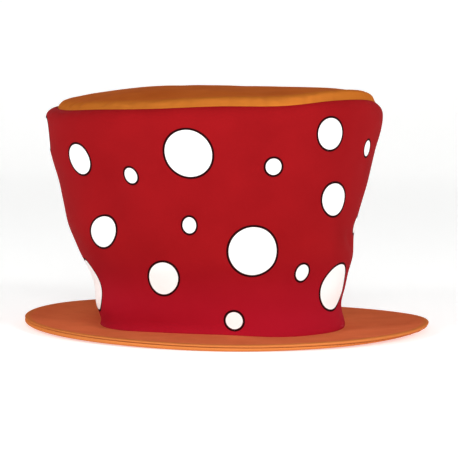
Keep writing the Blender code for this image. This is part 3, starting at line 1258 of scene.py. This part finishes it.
@dataclass(frozen=True)
class StitchRow:
    """A row of stitches along a path, made by Geometry Nodes.

    Span is half a stitch's length across the seam. Its ends lie at the depth of sink and its middle
    stands out by the bow.
    """

    name: str
    pitch: float
    span: float
    sink: float
    bow: float
    slant: float
    thread_radius: float = 0.22 * MM
    seed: int = 7

    def inputs(self) -> dict[str, float | int]:
        """The modifier's inputs, by socket name."""
        names = ("pitch", "span", "sink", "bow", "slant", "thread_radius", "seed")
        return {name.replace("_", " ").title(): getattr(self, name) for name in names}

    def tree(self, thread: Material) -> NodeTree:
        """Builds the node tree: a path in, realized stitches out."""
        tree = bpy.data.node_groups.new(self.name, "GeometryNodeTree")
        tree.interface.new_socket("Path", in_out="INPUT", socket_type="NodeSocketGeometry")
        for name, value in self.inputs().items():
            kind = "NodeSocketInt" if isinstance(value, int) else "NodeSocketFloat"
            tree.interface.new_socket(name, in_out="INPUT", socket_type=kind)
        tree.interface.new_socket("Stitches", in_out="OUTPUT", socket_type="NodeSocketGeometry")

        def add(kind: str, links: dict[str | int, Any], **settings: Any) -> NodeSocket | None:
            """Adds a node with its settings, feeds its inputs and returns its first output."""
            made = tree.nodes.new(kind)
            for name, value in settings.items():
                setattr(made, name, value)
            for name, value in links.items():
                if isinstance(value, NodeSocket):
                    tree.links.new(value, made.inputs[name])
                else:
                    made.inputs[name].default_value = value
            return made.outputs[0] if made.outputs else None

        def product(first: Any, second: Any) -> NodeSocket:
            """One value times another."""
            return add("ShaderNodeMath", {0: first, 1: second}, operation="MULTIPLY")

        def vector(**axes: Any) -> NodeSocket:
            """A vector of the values for X, Y and Z that are given."""
            return add("ShaderNodeCombineXYZ", axes)

        given = tree.nodes.new("NodeGroupInput").outputs
        path = add("GeometryNodeMeshToCurve", {"Mesh": given["Path"]})
        stations = add("GeometryNodeResampleCurve", {"Curve": path, "Length": given["Pitch"]}, mode="LENGTH")
        outward = add("GeometryNodeInputNamedAttribute", {"Name": OUTWARD}, data_type="FLOAT_VECTOR")
        facing = add(
            "FunctionNodeAxesToRotation",
            {"Primary Axis": outward, "Secondary Axis": add("GeometryNodeInputTangent", {})},
            primary_axis="Z",
            secondary_axis="Y",
        )
        chance = add(
            "FunctionNodeRandomValue",
            {"Min": (0.7, 0.85, 0.7), "Max": (1.3, 1.15, 1.3), "Seed": given["Seed"]},
            data_type="FLOAT_VECTOR",
        )
        lean = product(product(given["Slant"], -1.0), add("ShaderNodeSeparateXYZ", {0: chance}))
        as_turn = add("FunctionNodeEulerToRotation", {0: vector(Z=lean)})
        turned = add("FunctionNodeRotateRotation", {0: facing, 1: as_turn}, rotation_space="LOCAL")
        minus_sink = product(given["Sink"], -1.0)
        peak = add("ShaderNodeMath", {0: given["Bow"], 1: 2.0, 2: given["Sink"]}, operation="MULTIPLY_ADD")
        arc = add(
            "GeometryNodeCurveQuadraticBezier",
            {
                "Resolution": 6,
                "Start": vector(X=product(given["Span"], -1.0), Z=minus_sink),
                "Middle": vector(Z=peak),
                "End": vector(X=given["Span"], Z=minus_sink),
            },
        )
        section = {"Resolution": 6, "Radius": given["Thread Radius"]}
        profile = add("GeometryNodeCurvePrimitiveCircle", section)
        stitch = add("GeometryNodeCurveToMesh", {"Curve": arc, "Profile Curve": profile, "Fill Caps": True})
        placing = {"Points": stations, "Instance": stitch, "Rotation": turned, "Scale": chance}
        placed = add("GeometryNodeInstanceOnPoints", placing)
        real = add("GeometryNodeRealizeInstances", {"Geometry": placed})
        smooth = add("GeometryNodeSetShadeSmooth", {"Geometry": real})
        add("NodeGroupOutput", {0: add("GeometryNodeSetMaterial", {"Geometry": smooth, "Material": thread})})
        return tree

    def build(
        self,
        path: Array,
        outward: Array,
        thread: Material,
        slot: Slot,
        closed: bool = True,
    ) -> Object:
        """Sews the row along a path.

        Args:
            path: The points of the seam.
            outward: The direction at each point in which the stitches stand out.
            thread: The thread's material.
            slot: The record's slot that the thread is dyed with. It is not used.
            closed: Whether the path runs all the way round.

        Returns:
            The stitches as one plain mesh.
        """
        edges = [(index, index + 1) for index in range(len(path) - 1)]
        if closed:
            edges.append((len(path) - 1, 0))
        line = bpy.data.meshes.new(self.name + "_path")
        line.from_pydata(path.tolist(), edges, [])
        attribute = line.attributes.new(OUTWARD, "FLOAT_VECTOR", "POINT")
        attribute.data.foreach_set("vector", outward.astype(np.float32).ravel())
        holder = add_object(self.name + "_path", line)
        modifier = holder.modifiers.new("stitches", "NODES")
        modifier.node_group = self.tree(thread)
        values = self.inputs()
        for socket in modifier.node_group.interface.items_tree:
            if socket.name in values:
                modifier[socket.identifier] = values[socket.name]
        graph = bpy.context.evaluated_depsgraph_get()
        mesh = bpy.data.meshes.new_from_object(holder.evaluated_get(graph))
        bpy.data.objects.remove(holder)
        mesh.name = self.name
        made = add_object(self.name, mesh)
        LOG.info("%s: %d faces", self.name, len(mesh.polygons))
        return made


@dataclass(frozen=True)
class Sewing:
    """All rows of stitches that hold the hat together."""

    sizes: HatSizes
    crown: Crown
    brim: Brim
    orange_thread: Material
    red_thread: Material

    def brim_edge(self) -> Object:
        """The stitches in the groove between the brim's layers."""
        azimuth = all_round(STITCH_PATH_POINTS)
        groove = self.brim.levels(azimuth, 1.0, 1.0) * self.brim.seam_share(azimuth, 1.0)
        path = self.brim.place(azimuth, 1.0, groove, setback=0.9 * MM)[0]
        row = StitchRow(
            "brim_edge_stitches", pitch=3.4 * MM, span=1.2 * MM, sink=0.7 * MM, bow=0.1 * MM, slant=0.5
        )
        return row.build(path, outwards(azimuth), self.orange_thread, Slot.ORANGE_SATIN)

    def top_seam(self) -> Object:
        """The stitches in the groove between the crown and its top pad."""
        azimuth = all_round(STITCH_PATH_POINTS)
        last = np.array([len(self.crown.sections) - 1.0])
        edge = self.crown.outer(azimuth, last)[0]
        path = self.crown.rolled_in(edge, azimuth, ((1.45, -0.7),))[0]
        outward = UPWARDS + 0.5 * outwards(azimuth)
        outward /= np.linalg.norm(outward, axis=1, keepdims=True)
        row = StitchRow(
            "top_seam_stitches", pitch=4.0 * MM, span=1.1 * MM, sink=0.5 * MM, bow=0.1 * MM, slant=0.6
        )
        return row.build(path, outward, self.red_thread, Slot.DOTTED_CLOTH)

    def back_seam(self) -> Object:
        """The ladder of stitches up the crown's back seam."""
        places = np.linspace(0.6, len(self.crown.sections) - 1.6, 120)
        line = self.crown.outer(np.array([BACK_SEAM]), places)[:, 0]
        outward = np.broadcast_to(np.array([0.0, 1.0, -0.2]), line.shape)
        path = line + outward * 0.7 * MM
        row = StitchRow(
            "back_seam_stitches", pitch=4.5 * MM, span=1.4 * MM, sink=0.5 * MM, bow=0.15 * MM, slant=0.35
        )
        return row.build(path, outward, self.red_thread, Slot.DOTTED_CLOTH, closed=False)

    def opening(self) -> Object:
        """The whipped stitches that bind the brim and the crown round the head opening."""
        azimuth = all_round(STITCH_PATH_POINTS)
        path = self.brim.place(azimuth, 0.0, level=3.0 * MM)[0]
        row = StitchRow(
            "opening_stitches", pitch=5.0 * MM, span=1.8 * MM, sink=0.2 * MM, bow=0.25 * MM, slant=0.45
        )
        return row.build(path, -outwards(azimuth), self.orange_thread, Slot.ORANGE_SATIN)

    def build(self) -> list[Object]:
        """Sews every row."""
        return [self.brim_edge(), self.top_seam(), self.back_seam(), self.opening()]


@dataclass(frozen=True)
class Lamp:
    """A soft white lamp that looks at the hat: where it stands, its power, size and target."""

    name: str
    place: tuple[float, float, float]
    power: float
    size: float = 0.9
    target: tuple[float, float, float] = (0.0, 0.0, 0.09)

    def build(self) -> None:
        """Hangs the lamp."""
        light = bpy.data.lights.new(self.name, "AREA")
        light.shape = "DISK"
        light.size = self.size
        light.energy = self.power
        holder = add_object(self.name, light)
        holder.location = self.place
        aim = Vector(self.target) - Vector(self.place)
        holder.rotation_euler = aim.to_track_quat("-Z", "Y").to_euler()


@dataclass(frozen=True)
class Studio:
    """The floor, the lamps and the camera."""

    camera_place: tuple[float, float, float] = (0.0, -1.700, 0.205)
    camera_pitch: float = 4.14
    camera_roll: float = 0.82
    focal_pixels: float = 2000.0
    picture_pixels: float = 458.0
    middle_pixels: tuple[float, float] = (227.87, 229.8)
    sensor: float = 36.0
    floor_radius: float = 3.0
    bend_radius: float = 1.2
    wall_top: float = 2.6
    world_strength: float = 0.15
    lamps: tuple[Lamp, ...] = (
        Lamp("front_softbox", (0.0, -2.4, 1.30), power=20.0),
        Lamp("left_softbox", (-2.0, -1.6, 1.45), power=22.0),
        Lamp("right_softbox", (2.0, -1.6, 1.45), power=28.0),
    )
    cove_columns: int = 96
    bend_steps: int = 13

    def cove(self) -> None:
        """The round cove that the hat stands in: a floor that curves up into a wall."""
        around_it = outwards(all_round(self.cove_columns))
        bend = np.linspace(0, math.pi / 2, self.bend_steps)
        radii = [MM, *(self.floor_radius + self.bend_radius * np.sin(bend))]
        levels = [0.0, *(self.bend_radius * (1 - np.cos(bend))), self.wall_top]
        radii.append(radii[-1])
        rows = [radius * around_it + level * UPWARDS for radius, level in zip(radii, levels)]
        lining = Piece("studio_cove")
        lining.add_rows(np.array(rows[::-1]))
        lining.build([StudioCove().material()], closed_profile=False)

    def world(self) -> None:
        """Even white light from all sides."""
        world = bpy.data.worlds.new("studio_world")
        world.use_nodes = True
        background = world.node_tree.nodes["Background"]
        background.inputs["Color"].default_value = FULL_WHITE
        background.inputs["Strength"].default_value = self.world_strength
        bpy.context.scene.world = world

    def camera(self) -> None:
        """The camera of the photograph's view."""
        data = bpy.data.cameras.new("camera")
        data.sensor_width = self.sensor
        data.lens = self.sensor * self.focal_pixels / self.picture_pixels
        half = self.picture_pixels / 2
        data.shift_x = (half - self.middle_pixels[0]) / self.picture_pixels
        data.shift_y = (self.middle_pixels[1] - half) / self.picture_pixels
        holder = add_object("camera", data)
        pitch = Matrix.Rotation(math.radians(90 - self.camera_pitch), 4, "X")
        roll = Matrix.Rotation(math.radians(self.camera_roll), 4, "Z")
        holder.matrix_world = Matrix.Translation(self.camera_place) @ pitch @ roll
        bpy.context.scene.camera = holder

    def build(self) -> None:
        """Sets up the studio."""
        self.cove()
        self.world()
        for lamp in self.lamps:
            lamp.build()
        self.camera()
        bpy.context.scene.view_settings.view_transform = "Standard"


def main() -> None:
    """Builds the studio and the hat, piece by piece."""
    logging.basicConfig(level=logging.INFO, format="%(name)s: %(message)s")
    sizes = HatSizes.measured()
    LOG.info("sizes: %s", sizes)
    Studio().build()
    crown = Crown(sizes)
    brim = Brim(sizes)
    # The brim's and the pad's satin are lit and shaded copies of one satin: the pad's darker orange is
    # painted shade on its top
    satin = Satin(
        "brim_satin",
        orange=linear(228, 125, 79),
        deep_orange=linear(213, 111, 68),
        painted_highlight_orange=linear(206, 122, 64),
        middle=0.0,
        highlight_from=sizes.brim_radius - 7 * MM,
        highlight_to=sizes.brim_radius - 1 * MM,
    ).material()
    shaded_pad_satin = Satin(
        "shaded_pad_satin",
        orange=linear(194, 103, 42),
        deep_orange=linear(178, 88, 34),
        painted_highlight_orange=linear(191, 110, 41),
        middle=float(crown.axis(np.array(crown.sections[-1].lean))),
        highlight_from=sizes.full_radius - 21 * MM,
        highlight_to=sizes.full_radius - 8 * MM,
    ).material()
    pieces = [
        crown.build(PrintedCloth(crown.cut, FRONT_DOTS + BACK_DOTS).material(), Backing().material()),
        TopPad(sizes, crown).build(shaded_pad_satin),
        brim.build(Layer.UPPER, satin, "brim_top"),
        brim.build(Layer.LOWER, satin, "brim_under"),
    ]
    orange_thread = Thread("orange_thread", linear(214, 110, 44), linear(150, 66, 24)).material()
    red_thread = Thread("red_thread", linear(150, 20, 24), linear(96, 10, 14)).material()
    pieces += Sewing(sizes, crown, brim, orange_thread, red_thread).build()
    for piece in pieces:
        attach(piece, BODY)


if __name__ == "__main__":
    main()
